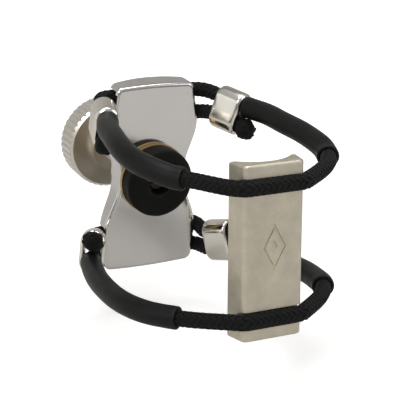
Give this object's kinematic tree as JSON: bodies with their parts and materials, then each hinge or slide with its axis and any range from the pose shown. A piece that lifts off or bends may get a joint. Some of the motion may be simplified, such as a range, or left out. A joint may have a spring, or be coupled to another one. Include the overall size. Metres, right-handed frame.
{
  "type": "saxophone ligature",
  "caption": "Open ring that clamps a reed to a saxophone mouthpiece: an hourglass frame with a thumb screw and pad, braided cord loops in rubber sleeves, and a grooved metal reed plate.",
  "frame": {"origin": "middle of the whole ligature's bounding box: inside the ring, 11.26 mm from the middle of the frame plate's front face towards the reed plate", "axes": "+Z along the mouthpiece, towards its tip; -Y from the frame plate towards the reed plate; +X across, to the right seen from the reed plate"},
  "size_m": [0.0408, 0.0734, 0.0368],
  "materials": {
    "polished_chrome": "mirror polished",
    "bush_brass": "turned",
    "post_steel": "turned",
    "spindle_steel": "turned, threaded",
    "knob_nickel": "satin nickel plate",
    "backing_brass": "turned",
    "pad_black": "matte black",
    "braided_cord": "black braid",
    "sleeve_rubber": "matte dark grey",
    "ferrule_nickel": "polished nickel plate",
    "plate_nickel": "fine satin nickel plate"
  },
  "bodies": {
    "frame": {"frame_plate": "polished_chrome", "thread_bush": "bush_brass", "cord_post_upper_left": "post_steel", "cord_post_upper_right": "post_steel", "cord_post_lower_left": "post_steel", "cord_post_lower_right": "post_steel"},
    "pad": {"pad_backing": "backing_brass", "pad_disc": "pad_black"},
    "thumb_screw": {"screw_spindle": "spindle_steel", "thumb_knob": "knob_nickel", "pad_retaining_screw": "spindle_steel"},
    "upper_loop": {"upper_cord": "braided_cord", "sleeve_upper_left": "sleeve_rubber", "sleeve_upper_right": "sleeve_rubber", "ferrule_upper_left": "ferrule_nickel", "ferrule_upper_right": "ferrule_nickel"},
    "lower_loop": {"lower_cord": "braided_cord", "sleeve_lower_left": "sleeve_rubber", "sleeve_lower_right": "sleeve_rubber", "ferrule_lower_left": "ferrule_nickel", "ferrule_lower_right": "ferrule_nickel"},
    "reed_clamp": {"reed_plate": "plate_nickel"}
  },
  "joints": [
    {"name": "pad_slide", "type": "slide", "parent": "frame", "child": "pad", "axis": [0, -0.9945, -0.1045], "range_m": [0, 0.0096]},
    {"name": "screw_turn", "type": "hinge", "parent": "pad", "child": "thumb_screw", "pos_m": [0.00032, 0.01126, -0.00028], "axis": [0, -0.9945, -0.1045], "range_deg": [0, 4320]},
    {"name": "upper_swing", "type": "hinge", "parent": "frame", "child": "upper_loop", "pos_m": [0.00032, 0.01259, 0.01341], "axis": [1, 0, 0], "range_deg": [-8, 8]},
    {"name": "lower_swing", "type": "hinge", "parent": "frame", "child": "lower_loop", "pos_m": [0.00032, 0.01541, -0.0134], "axis": [1, 0, 0], "range_deg": [-7.55, 7.55]},
    {"name": "plate_tilt", "type": "hinge", "parent": "upper_loop", "child": "reed_clamp", "pos_m": [0.00032, -0.03529, 0.00965], "axis": [1, 0, 0], "range_deg": [-9.44, 9.44]}
  ],
  "couplings": [
    {"joint": "pad_slide", "follows": "screw_turn", "m_per_rad": 0.00012732},
    {"joint": "lower_swing", "follows": "upper_swing", "ratio": 0.944},
    {"joint": "plate_tilt", "follows": "upper_swing", "ratio": -1.18}
  ]
}
